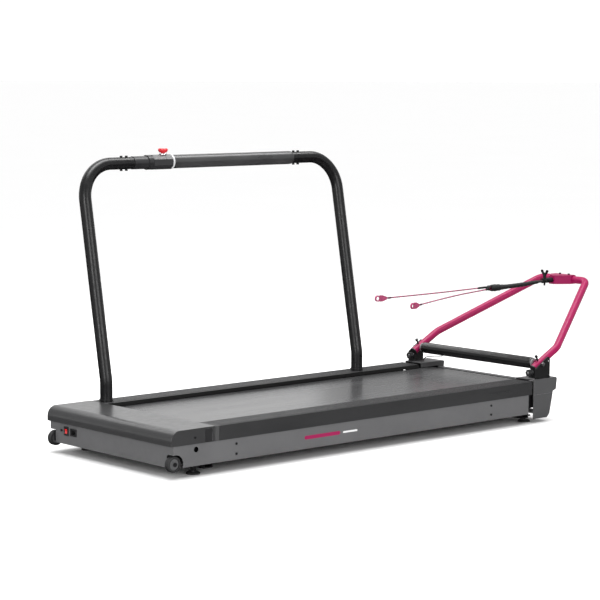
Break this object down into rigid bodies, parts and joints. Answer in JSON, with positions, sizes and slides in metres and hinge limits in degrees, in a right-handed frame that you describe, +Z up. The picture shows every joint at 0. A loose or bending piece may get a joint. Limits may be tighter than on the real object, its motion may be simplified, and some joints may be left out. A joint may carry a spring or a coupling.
{
  "type": "treadmill",
  "caption": "Flat motor-driven treadmill with a leaning side handrail, step rails, levelling feet, transport wheels and a tilting tether frame with two hooked cords.",
  "frame": {"origin": "bottom centre of the whole machine's box, on the floor", "axes": "+X towards the front, the tether frame's end; +Y towards the handrail side; +Z up"},
  "size_m": [2.5224, 0.886, 1.1365],
  "materials": {
    "frame_black": "satin",
    "tube_black": "satin",
    "body_grey": "satin",
    "cover_grey": "satin",
    "rail_grey": "satin",
    "belt_black": "satin",
    "deck_wood": "matte",
    "steel": "brushed",
    "chrome": "polished",
    "rubber_black": "matte",
    "motor_black": "satin",
    "aluminium": "machined",
    "magenta": "gloss",
    "magenta_dark": "gloss",
    "plastic_black": "satin",
    "foam_black": "matte",
    "webbing_black": "woven",
    "cord_pink": "twisted",
    "hook_pink": "satin",
    "switch_red": "gloss",
    "stop_red": "gloss",
    "collar_grey": "satin"
  },
  "bodies": {
    "root": {"side_beams": "frame_black", "cross_members": "frame_black", "deck_board": "deck_wood", "deck_cushions": "rubber_black", "running_belt": "belt_black", "roller_bearings": "steel", "drive_belt": "rubber_black", "drive_motor": "motor_black", "motor_mount": "frame_black", "motor_controller": "aluminium", "front_roller_shaft": "steel", "rear_cover": "cover_grey", "rear_end_panel": "body_grey", "side_skirts": "body_grey", "step_rail_right": "rail_grey", "step_rail_left": "rail_grey", "front_cover": "cover_grey", "upright_plates": "frame_black", "pivot_bolts": "steel", "cross_bar": "steel", "cross_bar_foam": "foam_black", "sensor_cable": "rubber_black", "handrail_post_rear": "tube_black", "handrail_post_front": "tube_black", "handrail_bar": "tube_black", "handrail_bolts": "steel", "handrail_grip": "foam_black", "handrail_collars": "collar_grey", "estop_housing": "plastic_black", "wheel_brackets": "steel", "foot_nuts": "chrome", "switch_bezel": "plastic_black", "power_inlet": "plastic_black", "cover_screws": "steel"},
    "drive_roller": {"drive_roller": "steel", "roller_pulley": "aluminium"},
    "motor_rotor": {"motor_pulley": "steel"},
    "front_roller": {"front_roller": "steel"},
    "tether_frame": {"tether_arm_right": "magenta", "tether_arm_left": "magenta", "arm_end_plugs": "plastic_black", "tether_head": "magenta_dark", "head_screws": "steel", "strap_coupling": "frame_black"},
    "wing_bolt": {"wing_bolt": "steel"},
    "tether": {"tether_strap": "webbing_black", "tether_cord_right": "cord_pink", "tether_cord_left": "cord_pink", "ring_hooks": "hook_pink"},
    "lock_knob_right": {"lock_knob_right": "plastic_black"},
    "lock_knob_left": {"lock_knob_left": "plastic_black"},
    "estop_button": {"estop_button": "stop_red"},
    "switch_rocker": {"switch_rocker": "switch_red"},
    "breaker_button": {"breaker_button": "plastic_black"},
    "wheel_right": {"wheel_right": "rubber_black"},
    "wheel_left": {"wheel_left": "rubber_black"},
    "foot_rear_right": {"foot_rear_right": "rubber_black"},
    "foot_rear_left": {"foot_rear_left": "rubber_black"},
    "foot_front_right": {"foot_front_right": "rubber_black"},
    "foot_front_left": {"foot_front_left": "rubber_black"}
  },
  "joints": [
    {"name": "drive_roller_spin", "type": "hinge", "parent": "root", "child": "drive_roller", "pos_m": [-1.0492, -0.05975, 0.1176], "axis": [0, 1, 0], "continuous": true},
    {"name": "motor_spin", "type": "hinge", "parent": "root", "child": "motor_rotor", "pos_m": [-1.1662, -0.37775, 0.106], "axis": [0, 1, 0], "continuous": true},
    {"name": "front_roller_spin", "type": "hinge", "parent": "root", "child": "front_roller", "pos_m": [0.7038, -0.05975, 0.1176], "axis": [0, 1, 0], "continuous": true},
    {"name": "tether_frame_tilt", "type": "hinge", "parent": "root", "child": "tether_frame", "pos_m": [0.6988, -0.05975, 0.24], "axis": [0, -1, 0], "range_deg": [-12, 30]},
    {"name": "wing_bolt_turn", "type": "hinge", "parent": "tether_frame", "child": "wing_bolt", "pos_m": [1.1192, -0.05975, 0.53298], "axis": [0, 0, 1], "continuous": true},
    {"name": "tether_swivel", "type": "hinge", "parent": "tether_frame", "child": "tether", "pos_m": [1.1192, -0.05975, 0.53298], "axis": [0, 0, 1], "range_deg": [-15, 15]},
    {"name": "lock_knob_right_turn", "type": "hinge", "parent": "root", "child": "lock_knob_right", "pos_m": [0.6558, -0.41175, 0.207], "axis": [1, 0, 0], "continuous": true},
    {"name": "lock_knob_left_turn", "type": "hinge", "parent": "root", "child": "lock_knob_left", "pos_m": [0.6558, 0.29225, 0.207], "axis": [1, 0, 0], "continuous": true},
    {"name": "estop_press", "type": "slide", "parent": "root", "child": "estop_button", "axis": [0, 0, -1], "range_m": [0, 0.004], "stiffness_N_per_m": 1500},
    {"name": "switch_rock", "type": "hinge", "parent": "root", "child": "switch_rocker", "pos_m": [-1.2302, 0.21425, 0.092], "axis": [0, 1, 0], "range_deg": [-8, 8]},
    {"name": "breaker_press", "type": "slide", "parent": "root", "child": "breaker_button", "axis": [1, 0, 0], "range_m": [0, 0.003], "stiffness_N_per_m": 900},
    {"name": "wheel_right_roll", "type": "hinge", "parent": "root", "child": "wheel_right", "pos_m": [-1.2322, -0.43275, 0.055], "axis": [0, 1, 0], "continuous": true},
    {"name": "wheel_left_roll", "type": "hinge", "parent": "root", "child": "wheel_left", "pos_m": [-1.2322, 0.31325, 0.055], "axis": [0, 1, 0], "continuous": true},
    {"name": "foot_rear_right_screw", "type": "hinge", "parent": "root", "child": "foot_rear_right", "pos_m": [-1.1082, -0.38175, 0], "axis": [0, 0, 1], "continuous": true},
    {"name": "foot_rear_left_screw", "type": "hinge", "parent": "root", "child": "foot_rear_left", "pos_m": [-1.1082, 0.26225, 0], "axis": [0, 0, 1], "continuous": true},
    {"name": "foot_front_right_screw", "type": "hinge", "parent": "root", "child": "foot_front_right", "pos_m": [0.6458, -0.38175, 0], "axis": [0, 0, 1], "continuous": true},
    {"name": "foot_front_left_screw", "type": "hinge", "parent": "root", "child": "foot_front_left", "pos_m": [0.6458, 0.26225, 0], "axis": [0, 0, 1], "continuous": true}
  ],
  "couplings": [
    {"joint": "front_roller_spin", "follows": "drive_roller_spin", "ratio": 1},
    {"joint": "motor_spin", "follows": "drive_roller_spin", "ratio": 2.0762}
  ]
}
